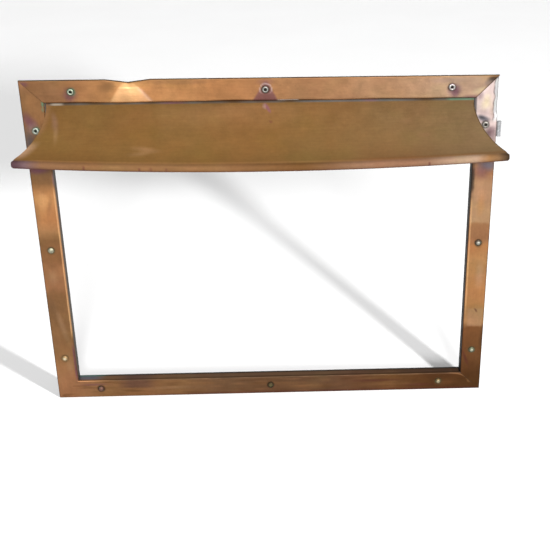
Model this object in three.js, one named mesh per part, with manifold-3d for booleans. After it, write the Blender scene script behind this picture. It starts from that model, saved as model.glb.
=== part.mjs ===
// A copper-clad fireplace frame with a smoke hood. Millimetres, +Z up, the front faces -Y.
// Four steel angles make the frame. Folded copper strips, mitred at the corners, cover its face
// and the sides of its opening, and twelve rivets hold them. A flared copper hood hangs from the
// top of the opening, with its front edge rolled round a steel rod.
import * as THREE from 'three';
import { mergeVertices } from 'three/addons/utils/BufferGeometryUtils.js';
import { LoftGeometry } from 'three/addons/geometries/LoftGeometry.js';
import Module from 'manifold-3d';

const wasm = await Module();
wasm.setup();

// ---- driving dimensions ----
const FRAME_WIDTH = 700;
const FRAME_HEIGHT = 535;
const FACE = 34;             // width of the top rail and the stiles
const BOTTOM_FACE = 32;      // width of the bottom rail
const FRAME_DEPTH = 20;      // front of the copper to the rear edge of the steel
const GAP = 0.3;             // between pieces that touch

const COPPER = 1;            // sheet thickness
const HEM_DEPTH = 4.3;       // copper folded back round the outer edge
const RETURN_DEPTH = 17;     // copper folded back into the opening
const OUTER_FOLD = 1.4;      // outside radius of the outer fold
const INNER_FOLD = 2.5;      // outside radius of the fold into the opening

const STEEL = 3;             // angle thickness
const STEEL_FACE_LEG = 23.4;

const RAIL_RIVET_X = 280;    // the other end rivets of both rails, from the middle
const TOP_LEFT_X = -276;     // the top rail's left rivet
const TOP_CENTRE_X = 6;      // the top rail's middle rivet, a little right of the middle
const STILE_RIVET_END = 75;  // the end rivets of both stiles, from the frame's ends
const SHANK_R = 3.2;
const HEAD_R = 5.3;
const DOME_HEIGHT = 2.4;
const FLANGE_HEIGHT = 1.7;   // of a blind rivet's head
const TUBE_R = 2;            // bore of a blind rivet
const TAIL_R = 4.6;
const TAIL_HEIGHT = 2.4;
const PIN_START = 0.6;       // the broken end of a mandrel, behind the copper's front face
const PIN_CHAMFER = 0.6;
const BALL_LENGTH = 2;       // of the mandrel's head behind the tail

const HOOD_DROP = 37.7;      // the frame's top edge to the foot of the hood's top bend
const HOOD_SHEET_Y = 0.2;    // middle of the hood's sheet where it hangs straight down
const HOOD_TOP_HALF = 313.5; // half the hood's width at its top
const HOOD_FLARE = 48.5;     // how far each side spreads outwards by the front edge
const FLARE_POWER = 1.6;
const HOOD_BEND_R = 2.9;     // top bend, to the middle of the sheet
const HOOD_FLANGE_Y = 16.5;  // rear edge of the flange under the top rail
const COVE_R = 70.8;         // radius of the hood's hollow curve
const COVE_TURN = 1.25;      // radians, from hanging straight down to nearly level
const HOOD_BOW = 17;         // how much further forward the sheet reaches at its middle
const ROD_R = 4.5;           // rod in the rolled front edge
const CURL_TURN = 5.2;       // radians that the sheet wraps round the rod
const HOOD_RIVET_Y = 10;

const LUG_STEEL = 2;
const LUG_INNER_X = 324;
const LUG_OUTER_X = 357;
const LUG_BOTTOM = 441;
const LUG_PLATE_TOP = 469;
const LUG_EDGE_TOP = 464;
const LUG_RIBS = 2;          // upright ribs folded into the lug's outer edge
const LUG_RIB_DEPTH = 1.5;

const ARC_STEPS = 4;
const COVE_STEPS = 10;
const CURL_STEPS = 12;
const HOOD_COLUMNS = 16;
const ROUND_SIDES = 12;

// ---- finishes ----
const finish = (color, roughness, metalness) =>
  new THREE.MeshStandardMaterial({ color, roughness, metalness });
const copperFinish = finish(0xb87a4b, 0.38, 1);
const hoodFinish = finish(0x8f6a3e, 0.45, 1);
const steelFinish = finish(0x4a4c50, 0.55, 1);
const rivetFinish = finish(0xb9b8a6, 0.4, 1);
const mandrelFinish = finish(0x3b3a34, 0.6, 1);

// ---- solids ----
/** A closed geometry as a solid for cutting and joining. */
function toSolid(geometry) {
  const bare = new THREE.BufferGeometry().copy(geometry);
  bare.deleteAttribute('normal');
  bare.deleteAttribute('uv');
  const merged = mergeVertices(bare, 1e-4);
  return new wasm.Manifold(new wasm.Mesh({
    numProp: 3,
    vertProperties: Float32Array.from(merged.attributes.position.array),
    triVerts: Uint32Array.from(merged.index.array),
  }));
}

function toGeometry(solid) {
  const { vertProperties, triVerts } = solid.getMesh();
  const geometry = new THREE.BufferGeometry();
  geometry.setAttribute('position', new THREE.BufferAttribute(vertProperties, 3));
  geometry.setIndex(new THREE.BufferAttribute(triVerts, 1));
  geometry.computeVertexNormals();
  return geometry;
}

const cutAway = (solid, cutters) => cutters.reduce((rest, cutter) => rest.subtract(cutter), solid);

const part = new THREE.Group();

function add(name, solid, material) {
  const mesh = new THREE.Mesh(toGeometry(solid), material);
  mesh.name = name;
  part.add(mesh);
  return mesh;
}

// ---- where the rivets go ----
const HALF = FRAME_WIDTH / 2;
const STACK = COPPER + GAP + STEEL; // the copper face and the steel leg behind it

/** One face rivet: its bar, where its axis meets the front plane, and whether it is a blind one. */
const faceRivet = (bar, x, z, blind = false) => ({ bar, place: new THREE.Vector3(x, 0, z), blind });

const TOP_LINE = FRAME_HEIGHT - FACE / 2;
const STILE_LINE = HALF - FACE / 2;
const UPPER = FRAME_HEIGHT - STILE_RIVET_END;
const MIDDLE = FRAME_HEIGHT / 2;
const faceRivets = {
  top_left: faceRivet('top', TOP_LEFT_X, TOP_LINE, true),
  top_centre: faceRivet('top', TOP_CENTRE_X, TOP_LINE, true),
  top_right: faceRivet('top', RAIL_RIVET_X, TOP_LINE, true),
  left_upper: faceRivet('left', -STILE_LINE, UPPER, true),
  left_middle: faceRivet('left', -STILE_LINE, MIDDLE),
  left_lower: faceRivet('left', -STILE_LINE, STILE_RIVET_END),
  right_upper: faceRivet('right', STILE_LINE, UPPER, true),
  right_middle: faceRivet('right', STILE_LINE, MIDDLE),
  right_lower: faceRivet('right', STILE_LINE, STILE_RIVET_END),
  bottom_left: faceRivet('bottom', -RAIL_RIVET_X, BOTTOM_FACE / 2),
  bottom_centre: faceRivet('bottom', 0, BOTTOM_FACE / 2),
  bottom_right: faceRivet('bottom', RAIL_RIVET_X, BOTTOM_FACE / 2),
};
const hoodRivetXs = { left: -RAIL_RIVET_X, centre: 0, right: RAIL_RIVET_X };

/** A drill for a rivet's clearance hole, along Y. */
function faceDrill({ place }) {
  const radius = SHANK_R + GAP;
  const drill = new THREE.CylinderGeometry(radius, radius, 3 * FRAME_DEPTH, ROUND_SIDES);
  return toSolid(drill.translate(place.x, place.y, place.z));
}

/** The drills that go up through the hood's flange and the top rail. */
function hoodDrills() {
  const radius = SHANK_R + GAP;
  return Object.values(hoodRivetXs).map((x) => {
    const drill = new THREE.CylinderGeometry(radius, radius, FACE / 2, ROUND_SIDES);
    return toSolid(drill.rotateX(Math.PI / 2).translate(x, HOOD_RIVET_Y, FRAME_HEIGHT - FACE));
  });
}

// ---- the four bars ----
// A bar's section is drawn in (n, y): n runs inwards from the frame's outer edge, y backwards.
// Its ends are outer corners of the frame, as (x, z).
const corners = {
  topLeft: new THREE.Vector2(-HALF, FRAME_HEIGHT), topRight: new THREE.Vector2(HALF, FRAME_HEIGHT),
  bottomLeft: new THREE.Vector2(-HALF, 0), bottomRight: new THREE.Vector2(HALF, 0),
};
const bars = {
  top: { face: FACE, start: corners.topLeft, end: corners.topRight },
  right: { face: FACE, start: corners.topRight, end: corners.bottomRight },
  bottom: { face: BOTTOM_FACE, start: corners.bottomRight, end: corners.bottomLeft },
  left: { face: FACE, start: corners.bottomLeft, end: corners.topLeft },
};

/** The corner of the opening next to an outer corner. */
function innerCorner({ x, y }) {
  return new THREE.Vector2(Math.sign(x) * (HALF - FACE), y === 0 ? BOTTOM_FACE : y - FACE);
}

/** A block over one bar's share of the frame, up to half a gap short of both mitres. */
function mitreBlock({ start, end }) {
  const along = end.clone().sub(start).normalize();
  const past = 0.15; // how far the cut runs past the bar, as a share of its width
  const cut = (outer, sense) => {
    const across = innerCorner(outer).sub(outer);
    const from = outer.clone().addScaledVector(along, sense * GAP / Math.SQRT2);
    return [-past, 1 + past].map((share) => from.clone().addScaledVector(across, share));
  };
  const [startOut, startIn] = cut(start, 1);
  const [endOut, endIn] = cut(end, -1);
  const block = new THREE.ExtrudeGeometry(new THREE.Shape([startOut, startIn, endIn, endOut]), {
    depth: 3 * FRAME_DEPTH, bevelEnabled: false,
  });
  return toSolid(block.rotateX(Math.PI / 2).translate(0, 2 * FRAME_DEPTH, 0));
}

/** A bar of the given section, mitred at both ends and drilled for its rivets. */
function mitredBar(side, section) {
  const { start, end } = bars[side];
  const length = start.distanceTo(end);
  const along = new THREE.Vector3(end.x - start.x, 0, end.y - start.y).normalize();
  const back = new THREE.Vector3(0, 1, 0);
  const inward = new THREE.Vector3().crossVectors(back, along);
  const place = new THREE.Matrix4().makeBasis(inward, back, along);
  place.setPosition(start.x, 0, start.y);
  const straight = new THREE.ExtrudeGeometry(section, {
    depth: length, bevelEnabled: false, curveSegments: ARC_STEPS,
  });
  const mitred = toSolid(straight.applyMatrix4(place)).intersect(mitreBlock(bars[side]));
  const drills = Object.values(faceRivets).filter(({ bar }) => bar === side).map(faceDrill);
  return cutAway(mitred, side === 'top' ? [...drills, ...hoodDrills()] : drills);
}

/** Copper: a hem round the outer edge, the face, and a return into the opening. */
function copperSection(face) {
  const quarter = Math.PI / 2;
  const s = new THREE.Shape();
  s.moveTo(0, HEM_DEPTH);
  s.lineTo(0, OUTER_FOLD);
  s.absarc(OUTER_FOLD, OUTER_FOLD, OUTER_FOLD, 2 * quarter, 3 * quarter, false);
  s.lineTo(face - INNER_FOLD, 0);
  s.absarc(face - INNER_FOLD, INNER_FOLD, INNER_FOLD, 3 * quarter, 4 * quarter, false);
  s.lineTo(face, RETURN_DEPTH);
  s.lineTo(face - COPPER, RETURN_DEPTH);
  s.lineTo(face - COPPER, INNER_FOLD);
  s.absarc(face - INNER_FOLD, INNER_FOLD, INNER_FOLD - COPPER, 4 * quarter, 3 * quarter, true);
  s.lineTo(OUTER_FOLD, COPPER);
  s.absarc(OUTER_FOLD, OUTER_FOLD, OUTER_FOLD - COPPER, 3 * quarter, 2 * quarter, true);
  s.lineTo(COPPER, HEM_DEPTH);
  s.closePath();
  return s;
}

/** Steel angle: a leg behind the copper face, and a leg running back along the opening. */
function steelSection(face) {
  const inner = face - COPPER - GAP;
  const front = COPPER + GAP;
  const round = INNER_FOLD - COPPER - GAP;
  const s = new THREE.Shape();
  s.moveTo(inner - STEEL_FACE_LEG, front);
  s.lineTo(inner - round, front);
  s.absarc(inner - round, front + round, round, 1.5 * Math.PI, 2 * Math.PI, false);
  s.lineTo(inner, FRAME_DEPTH);
  s.lineTo(inner - STEEL, FRAME_DEPTH);
  s.lineTo(inner - STEEL, front + STEEL);
  s.lineTo(inner - STEEL_FACE_LEG, front + STEEL);
  s.closePath();
  return s;
}

// ---- rivets, turned about Y with their heads at the front ----
const turned = (points) => toSolid(new THREE.LatheGeometry(
  points.map(([r, y]) => new THREE.Vector2(r, y)), ROUND_SIDES));

/** A solid rivet with a domed head, through a stack of the given thickness. */
function solidRivet(stack) {
  const tail = stack + GAP;
  const dome = [];
  for (let i = 0; i <= ARC_STEPS; i += 1) {
    const turn = (i / ARC_STEPS) * (Math.PI / 2);
    dome.push([HEAD_R * Math.sin(turn), -GAP - DOME_HEIGHT * Math.cos(turn)]);
  }
  return turned([
    ...dome, [SHANK_R, -GAP], [SHANK_R, tail], [TAIL_R, tail],
    [TAIL_R * 0.75, tail + TAIL_HEIGHT], [0, tail + TAIL_HEIGHT],
  ]);
}

/** A blind rivet: a flanged tube. Its profile is closed round the bore. */
function blindRivet(stack) {
  const tail = stack + GAP;
  const start = [TUBE_R, -GAP - FLANGE_HEIGHT * 0.8];
  return turned([
    start, [TUBE_R * 1.25, -GAP - FLANGE_HEIGHT], [HEAD_R * 0.75, -GAP - FLANGE_HEIGHT * 0.95],
    [HEAD_R, -GAP - FLANGE_HEIGHT * 0.4], [HEAD_R, -GAP], [SHANK_R, -GAP], [SHANK_R, tail],
    [TAIL_R, tail], [TAIL_R, tail + TAIL_HEIGHT * 0.6], [SHANK_R, tail + TAIL_HEIGHT],
    [TUBE_R, tail + TAIL_HEIGHT], start,
  ]);
}

/** The pin left in a blind rivet's bore, with its ball behind the tail. */
function mandrel(stack) {
  const pin = TUBE_R - GAP;
  const ball = stack + GAP + TAIL_HEIGHT + GAP;
  return turned([
    [0, PIN_START], [pin * 0.8, PIN_START], [pin, PIN_START + PIN_CHAMFER], [pin, ball],
    [SHANK_R * 0.9, ball], [SHANK_R * 0.7, ball + BALL_LENGTH * 0.75], [0, ball + BALL_LENGTH],
  ]);
}

// ---- the hood ----
const HOOD_TOP_Z = FRAME_HEIGHT - HOOD_DROP;
const CURL_R = ROD_R + GAP + COPPER / 2;

/** The end of the hollow curve and the rod's centre under it, as [y, z], at the hood's sides. */
const coveEnd = [
  HOOD_SHEET_Y - COVE_R * (1 - Math.cos(COVE_TURN)), HOOD_TOP_Z - COVE_R * Math.sin(COVE_TURN),
];
const rodCentre = [
  coveEnd[0] + CURL_R * Math.cos(COVE_TURN), coveEnd[1] - CURL_R * Math.sin(COVE_TURN),
];

/**
 * The middle line of the hood's sheet from back to front, as {y, z, turn, share}. turn is the
 * sheet's direction: 0 hangs straight down, a quarter turn is level and forwards. share is how far
 * along the hollow curve the point is, from 0 at the top to 1 at the front edge.
 */
function hoodLine() {
  const line = [];
  const arc = (centreY, centreZ, radius, from, to, steps, share) => {
    for (let i = 0; i <= steps; i += 1) {
      const turn = from + ((to - from) * i) / steps;
      const y = centreY - radius * Math.cos(turn);
      line.push({ y, z: centreZ + radius * Math.sin(turn), turn, share: share(i / steps) });
    }
  };
  const level = Math.PI / 2;
  line.push({ y: HOOD_FLANGE_Y, z: HOOD_TOP_Z + HOOD_BEND_R, turn: level, share: 0 });
  arc(HOOD_SHEET_Y + HOOD_BEND_R, HOOD_TOP_Z, HOOD_BEND_R, level, 0, ARC_STEPS, () => 0);
  line.pop();
  arc(HOOD_SHEET_Y - COVE_R, HOOD_TOP_Z, -COVE_R, 0, COVE_TURN, COVE_STEPS, (along) => along);
  line.pop();
  arc(...rodCentre, CURL_R, COVE_TURN, COVE_TURN - CURL_TURN, CURL_STEPS, () => 1);
  return line;
}

/** How far the bow moves the sheet at u, from -1 at the left side to 1 at the right. */
function bow(u) {
  const reach = HOOD_BOW * (1 - u * u);
  return [-reach * Math.sin(COVE_TURN), -reach * Math.cos(COVE_TURN)];
}

function hoodSheet() {
  const line = hoodLine();
  const section = (u) => {
    const [bowY, bowZ] = bow(u);
    const place = ({ y, z, turn, share }, side) => new THREE.Vector3(
      u * (HOOD_TOP_HALF + HOOD_FLARE * share ** FLARE_POWER),
      y + bowY * share ** 2 + side * (COPPER / 2) * Math.cos(turn),
      z + bowZ * share ** 2 - side * (COPPER / 2) * Math.sin(turn),
    );
    const under = line.map((point) => place(point, 1));
    const over = line.map((point) => place(point, -1));
    return [...over, ...under.reverse()];
  };
  const sections = [];
  for (let i = 0; i <= HOOD_COLUMNS; i += 1) sections.push(section((2 * i) / HOOD_COLUMNS - 1));
  const sheet = new LoftGeometry(sections, { capStart: true, capEnd: true });
  return cutAway(toSolid(sheet), hoodDrills());
}

/** The rod follows the bow, which is a parabola, just as a quadratic curve does. */
function edgeRod() {
  const half = HOOD_TOP_HALF + HOOD_FLARE - COPPER;
  const [y, z] = rodCentre;
  const [bowY, bowZ] = bow(0);
  const path = new THREE.QuadraticBezierCurve3(
    new THREE.Vector3(-half, y, z),
    new THREE.Vector3(0, y + 2 * bowY, z + 2 * bowZ),
    new THREE.Vector3(half, y, z),
  );
  const round = new THREE.Shape().absarc(0, 0, ROD_R, 0, 2 * Math.PI, false);
  return toSolid(new THREE.ExtrudeGeometry(round, {
    extrudePath: path, steps: HOOD_COLUMNS, curveSegments: ROUND_SIDES,
  }));
}

// ---- the fixing lug ----
/** A steel strap riveted behind the right stile. Its outer edge is folded into upright ribs. */
function fixingLug() {
  const front = STACK + GAP;
  const rear = front + LUG_STEEL;
  const ribStart = HALF + GAP;
  const upright = (outline, bottom, top) => {
    const shape = new THREE.Shape(outline.map(([x, y]) => new THREE.Vector2(x, y)));
    const block = new THREE.ExtrudeGeometry(shape, { depth: top - bottom, bevelEnabled: false });
    return toSolid(block.translate(0, 0, bottom));
  };
  const plate = upright(
    [[LUG_INNER_X, front], [HALF, front], [HALF, rear], [LUG_INNER_X, rear]],
    LUG_BOTTOM, LUG_PLATE_TOP,
  );
  const folds = [];
  for (let i = 0; i <= 2 * LUG_RIBS; i += 1) {
    const x = ribStart + ((LUG_OUTER_X - ribStart) * i) / (2 * LUG_RIBS);
    folds.push([x, i % 2 === 0 ? LUG_RIB_DEPTH : 0]);
  }
  const ribs = upright([
    [HALF - COPPER, front], [ribStart, front], ...folds, [LUG_OUTER_X, rear],
    [HALF - COPPER, rear],
  ], LUG_BOTTOM, LUG_EDGE_TOP);
  return plate.add(ribs).subtract(faceDrill(faceRivets.right_upper));
}

// ---- the whole object ----
for (const side of Object.keys(bars)) {
  add(`steel_angle_${side}`, mitredBar(side, steelSection(bars[side].face)), steelFinish);
  add(`copper_strip_${side}`, mitredBar(side, copperSection(bars[side].face)), copperFinish);
}

for (const [name, { place, blind }] of Object.entries(faceRivets)) {
  const stack = STACK + (name === 'right_upper' ? GAP + LUG_STEEL : 0);
  const rivet = blind ? blindRivet(stack) : solidRivet(stack);
  add(`rivet_${name}`, rivet, rivetFinish).position.copy(place);
  if (blind) add(`mandrel_${name}`, mandrel(stack), mandrelFinish).position.copy(place);
}

add('hood_sheet', hoodSheet(), hoodFinish);
add('hood_edge_rod', edgeRod(), steelFinish);
for (const [name, x] of Object.entries(hoodRivetXs)) {
  const rivet = add(`hood_rivet_${name}`, solidRivet(STACK + GAP + COPPER), rivetFinish);
  rivet.rotation.x = Math.PI / 2;
  rivet.position.set(x, HOOD_RIVET_Y, HOOD_TOP_Z + HOOD_BEND_R - COPPER / 2);
}
add('fixing_lug', fixingLug(), steelFinish);

// The origin is on the rear edge of the bottom steel angle, midway across the frame.
part.position.set(0, -FRAME_DEPTH, -(BOTTOM_FACE - COPPER - GAP - STEEL / 2));

export default part;
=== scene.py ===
"""A copper-clad fireplace frame with a smoke hood: fine shapes and finishes round the CAD frame.

Lengths in the shape code are millimetres from the middle of the frame's lower front edge: x to
the right, y backwards, z up. place() turns them into the row frame's metres.
"""
import math

import bpy
import numpy as np
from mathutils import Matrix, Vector, noise


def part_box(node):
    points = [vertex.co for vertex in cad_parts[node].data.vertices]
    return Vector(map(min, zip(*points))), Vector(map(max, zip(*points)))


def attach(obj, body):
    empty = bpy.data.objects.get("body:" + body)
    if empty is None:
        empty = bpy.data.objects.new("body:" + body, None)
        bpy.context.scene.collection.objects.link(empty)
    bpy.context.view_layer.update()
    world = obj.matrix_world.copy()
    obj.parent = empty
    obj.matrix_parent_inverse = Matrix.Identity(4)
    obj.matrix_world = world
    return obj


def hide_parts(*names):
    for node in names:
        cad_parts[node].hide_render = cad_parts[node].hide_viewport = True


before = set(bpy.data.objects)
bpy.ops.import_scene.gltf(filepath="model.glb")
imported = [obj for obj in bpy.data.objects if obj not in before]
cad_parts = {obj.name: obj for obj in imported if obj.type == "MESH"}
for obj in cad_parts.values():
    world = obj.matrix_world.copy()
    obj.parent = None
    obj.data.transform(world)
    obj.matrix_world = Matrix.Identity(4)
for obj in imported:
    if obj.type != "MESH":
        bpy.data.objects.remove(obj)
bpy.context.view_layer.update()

MM = 0.001  # in metres
SHARP_ANGLE = 40  # degrees: a mesh edge that turns more is drawn sharp

# ---- sizes from the frame, in millimetres ----
TOP_BOX, BOTTOM_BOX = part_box("copper_strip_top"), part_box("copper_strip_bottom")
LEFT_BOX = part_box("copper_strip_left")
ORIGIN = Vector((0, TOP_BOX[0].y, BOTTOM_BOX[0].z))
HALF = -LEFT_BOX[0].x / MM
HEIGHT = (TOP_BOX[1].z - ORIGIN.z) / MM
FACE = (TOP_BOX[1].z - TOP_BOX[0].z) / MM
BOTTOM_FACE = (BOTTOM_BOX[1].z - BOTTOM_BOX[0].z) / MM
RETURN_DEPTH = (TOP_BOX[1].y - TOP_BOX[0].y) / MM

# ---- sizes that repeat the CAD model's, in millimetres ----
GAP = 0.3
COPPER = 1
HEM_DEPTH = 4.3
OUTER_FOLD = 1.4
INNER_FOLD = 2.5
STACK = 4.3  # copper face, gap and steel leg
LUG_STEEL = 2
SHANK_R = 3.2
HEAD_R = 5.3
DOME_HEIGHT = 2.4
FLANGE_HEIGHT = 1.7
TUBE_R = 2
TAIL_R = 4.6
TAIL_HEIGHT = 2.4
HOOD_TOP_Z = HEIGHT - 37.7
HOOD_SHEET_Y = 0.2
HOOD_TOP_HALF = 313.5
HOOD_FLARE = 48.5  # how much wider the hood is at its foot, at each end
HOOD_FOOT_HALF = HOOD_TOP_HALF + HOOD_FLARE
FLARE_POWER = 1.6
HOOD_BEND_R = 2.9
HOOD_FLANGE_Y = 16.5
HOOD_RIVET_Y = 10
COVE_R = 70.8
COVE_TURN = 1.25  # radians
HOOD_BOW = 17  # how far the rolled edge's middle stands ahead of its ends
ROD_R = 4.5
CURL_TURN = 5.2  # radians
CURL_R = ROD_R + GAP + COPPER / 2

# ---- sizes of wear and fine shapes, in millimetres ----
KNOCK_X = -193
KNOCK_HALF = 34
KNOCK_DEPTH = 4.6
KNOCK_BACK = 1.5
SLACK = 1.0  # how far the face under the knock bulges
UNEVEN = 0.10  # of the strips' faces
HOOD_UNEVEN = 0.8
HOOD_UNEVEN_SIZE = 130
OPENED_TURN = 0.55  # radians that the right stile's opened edge is pushed back
CORNER_WEAR_R = 3.0
HOLE_REACH = 3.4  # from a blind rivet's axis
RIVET_DENTS = 0.25

# ---- camera and light, in metres ----
LENS = 67.9
SENSOR = 36
LENS_SHIFT = (-0.105, -0.006)
CAMERA_PLACE = Vector((0.0452, -1.5052, 0.8940))
CAMERA_TURN = (64.74, 0.12, -2.32)  # degrees
CAMERA_NEAR, CAMERA_FAR = 0.05, 60
# Each sun: degrees to the right of the front, degrees up, strength, and its width in degrees.
SUNS = {"near_sun": (24, 22, 1.15, 4), "broad_sun": (6, 21, 3.4, 12)}
SKY_STRENGTH = 0.47
FLOOR_LAMP_PLACE = Vector((0.862, -1.113, 0.773))
FLOOR_LAMP_POWER = 50
FLOOR_LAMP_RADIUS = 0.055
FLOOR_HALF = 12
FLOOR_SHADES = (0.865, 0.88)

# ---- the rivets ----
STILE_X = HALF - FACE / 2
TOP_Z = HEIGHT - FACE / 2
BOTTOM_Z = BOTTOM_FACE / 2
RIVET_IN = 75  # a stile's outer rivets, from the frame's top and bottom
RIVET_PLACES = {
    "top_left": (-276, TOP_Z), "top_centre": (6, TOP_Z), "top_right": (280, TOP_Z),
    "left_upper": (-STILE_X, HEIGHT - RIVET_IN), "left_middle": (-STILE_X, HEIGHT / 2),
    "left_lower": (-STILE_X, RIVET_IN),
    "right_upper": (STILE_X, HEIGHT - RIVET_IN), "right_middle": (STILE_X, HEIGHT / 2),
    "right_lower": (STILE_X, RIVET_IN),
    "bottom_left": (-280, BOTTOM_Z), "bottom_centre": (0, BOTTOM_Z),
    "bottom_right": (280, BOTTOM_Z),
}
HOOD_RIVET_PLACES = {"left": -280, "centre": 0, "right": 280}
BLIND = ("top_left", "top_centre", "top_right", "left_upper", "right_upper")
DARK_RIMS = ("top_centre", "top_right", "bottom_left", "bottom_centre", "right_middle",
             "right_upper")
GREEN_RIMS = ("top_left", "left_upper")


def smooth(low, high, value):
    """0 at low, 1 at high, with soft ends. low may be the larger."""
    share = np.clip((value - low) / (high - low), 0, 1)
    return share * share * (3 - 2 * share)


def hill(value, centre, reach):
    """1 at centre, falling softly to 0 at reach on both sides."""
    return smooth(1, 0, np.abs(value - centre) / reach)


def between(value, low, high, soft):
    """1 from low to high, 0 outside them, with soft edges."""
    return smooth(low - soft, low + soft, value) * smooth(high + soft, high - soft, value)


def cloud(points, size, seed=0.0):
    """Soft noise of about -1 to 1, with features of the given size in millimetres."""
    shift = Vector((seed, 2 * seed, -seed))
    return np.array([noise.noise(Vector(p) / size + shift) for p in points])


def place(points):
    """Points in millimetres as metres in the row frame."""
    return np.asarray(points) * MM + np.array(ORIGIN)


def add_object(name, data):
    """A new object, put in the scene."""
    made = bpy.data.objects.new(name, data)
    bpy.context.scene.collection.objects.link(made)
    return made


# ---- meshes ----
def new_piece(name, points, faces):
    """A smooth-shaded object from points in millimetres."""
    mesh = bpy.data.meshes.new(name)
    mesh.from_pydata(place(points).tolist(), [], faces)
    mesh.shade_smooth()
    mesh.set_sharp_from_angle(angle=math.radians(SHARP_ANGLE))
    mesh.validate()
    return add_object(name, mesh)


def ring_faces(rows, columns):
    """The quads between rings of points, each ring closed on itself."""
    faces = []
    for row in range(rows - 1):
        near, far = row * columns, (row + 1) * columns
        for i in range(columns):
            after = (i + 1) % columns
            faces.append((near + i, near + after, far + after, far + i))
    return faces


def loft(rings, flip=False):
    """Points and faces of closed rings joined in order, with quads across both end rings.

    A ring is a sheet's section: its second half runs back along its first, so that point i
    faces point -1 - i.
    """
    rings = np.asarray(rings, float)
    rows, columns = rings.shape[:2]
    faces = ring_faces(rows, columns)
    last = (rows - 1) * columns
    for i in range(columns // 2 - 1):
        across = (i, i + 1, columns - 2 - i, columns - 1 - i)
        faces.append(across[::-1])
        faces.append(tuple(last + j for j in across))
    if flip:
        faces = [face[::-1] for face in faces]
    return rings.reshape(-1, 3), faces


def arc(centre, radius, start, end, steps):
    """Points (a, b) round a centre, from one angle to another in radians."""
    turns = np.linspace(start, end, steps + 1)
    return [(centre[0] + radius * math.cos(t), centre[1] + radius * math.sin(t)) for t in turns]


def span(start, end, step):
    """Points (a, b) on a straight line, without its ends, about a step apart."""
    start, end = np.array(start, float), np.array(end, float)
    count = max(1, round(np.linalg.norm(end - start) / step))
    return [tuple(start + (end - start) * i / count) for i in range(1, count)]


def thicken(path):
    """A closed section of a copper sheet whose middle follows the path, with rounded edges."""
    path = np.array(path, float)
    ahead = np.gradient(path, axis=0)
    ahead /= np.linalg.norm(ahead, axis=1)[:, None]
    side = np.stack([-ahead[:, 1], ahead[:, 0]], 1) * COPPER / 2
    edge = 0.3
    first = [path[0] - ahead[0] * edge * COPPER + side[0] * share for share in (0.5, -0.5)]
    last = [path[-1] + ahead[-1] * edge * COPPER + side[-1] * share for share in (0.5, -0.5)]
    over, under = path + side, path - side
    return np.vstack([first[:1], over, last[:1], last[1:], under[::-1], first[1:]])


# ---- the copper strips ----
ROW_STEP = 2.0  # between a strip's rings
FACE_STEP = 1.25  # between points across its face
CORNERS = {
    "top_left": (-HALF, HEIGHT), "top_right": (HALF, HEIGHT),
    "bottom_left": (-HALF, 0), "bottom_right": (HALF, 0),
}
# Between two strips at a corner, where it isn't GAP.
MITRE_GAPS = {"bottom_left": 0.04, "bottom_right": 0.04}
# Each strip: the corners it runs between, the way in to the opening, and its face's width.
STRIPS = {
    "top": ("top_left", "top_right", (0, -1), FACE),
    "bottom": ("bottom_left", "bottom_right", (0, 1), BOTTOM_FACE),
    "left": ("bottom_left", "top_left", (1, 0), FACE),
    "right": ("bottom_right", "top_right", (-1, 0), FACE),
}


def strip_section(face):
    """The strip's section as (across, back): hem, face and return into the opening."""
    half = COPPER / 2
    quarter = math.pi / 2
    outer, inner = OUTER_FOLD - half, INNER_FOLD - half
    return thicken([
        (half, HEM_DEPTH - half), *span((half, HEM_DEPTH - half), (half, OUTER_FOLD), 1),
        *arc((OUTER_FOLD, OUTER_FOLD), outer, 2 * quarter, 3 * quarter, 6),
        *span((OUTER_FOLD, half), (face - INNER_FOLD, half), FACE_STEP),
        *arc((face - INNER_FOLD, INNER_FOLD), inner, 3 * quarter, 4 * quarter, 8),
        *span((face - half, INNER_FOLD), (face - half, RETURN_DEPTH - half), 2 * FACE_STEP),
        (face - half, RETURN_DEPTH - half),
    ])


def strip_rings(side):
    """The strip as rings of (across, back, along), with mitred ends."""
    start, end, _, face = STRIPS[side]
    length = math.dist(CORNERS[start], CORNERS[end])
    section = strip_section(face)
    slopes = {"top": (1, 1), "bottom": (FACE / BOTTOM_FACE,) * 2}
    low, high = slopes.get(side, (BOTTOM_FACE / FACE, 1))
    first_gap, last_gap = (MITRE_GAPS.get(corner, GAP) / math.sqrt(2) for corner in (start, end))
    from_start = first_gap + section[:, 0] * low
    to_end = length - last_gap - section[:, 0] * high
    rows = round(length / ROW_STEP)
    rings = []
    for row in range(rows + 1):
        along = from_start + (to_end - from_start) * row / rows
        rings.append(np.column_stack([section, along]))
    return np.array(rings)


def bend_top(points):
    """The knock in the top rail's upper edge, and the slack face under it."""
    across, _, along = points.T
    x = along - HALF
    knock = np.clip(1 - np.abs(x - KNOCK_X) / KNOCK_HALF, 0, 1) ** 1.15
    overhang = np.clip(1 - across / 13, 0, 1)
    slack = hill(across, 24, 15) * knock
    sway = 0.35 * np.sin(x / 41) + 0.25 * np.sin(x / 17 + 1)
    low_edge = smooth(26, 33, across)
    points[:, 0] += KNOCK_DEPTH * knock * overhang + low_edge * sway
    points[:, 1] += KNOCK_BACK * knock * overhang - SLACK * slack
    return points


def open_fold(along):
    """How far in from the right stile's outer edge its face has creased."""
    return 6.6 + 0.7 * np.sin(along / 4.5) + 0.5 * np.sin(along / 2.3)


def bend_right(points):
    """The right stile's outer edge, opened and pushed back near the top."""
    across, _, along = points.T
    opened = smooth(470, 482, along) * smooth(536, 530, along)
    beyond = np.clip(open_fold(along) - across, 0, None) * opened
    points[:, 0] += beyond * (1 - math.cos(OPENED_TURN))
    points[:, 1] += beyond * math.sin(OPENED_TURN)
    return points


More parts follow.
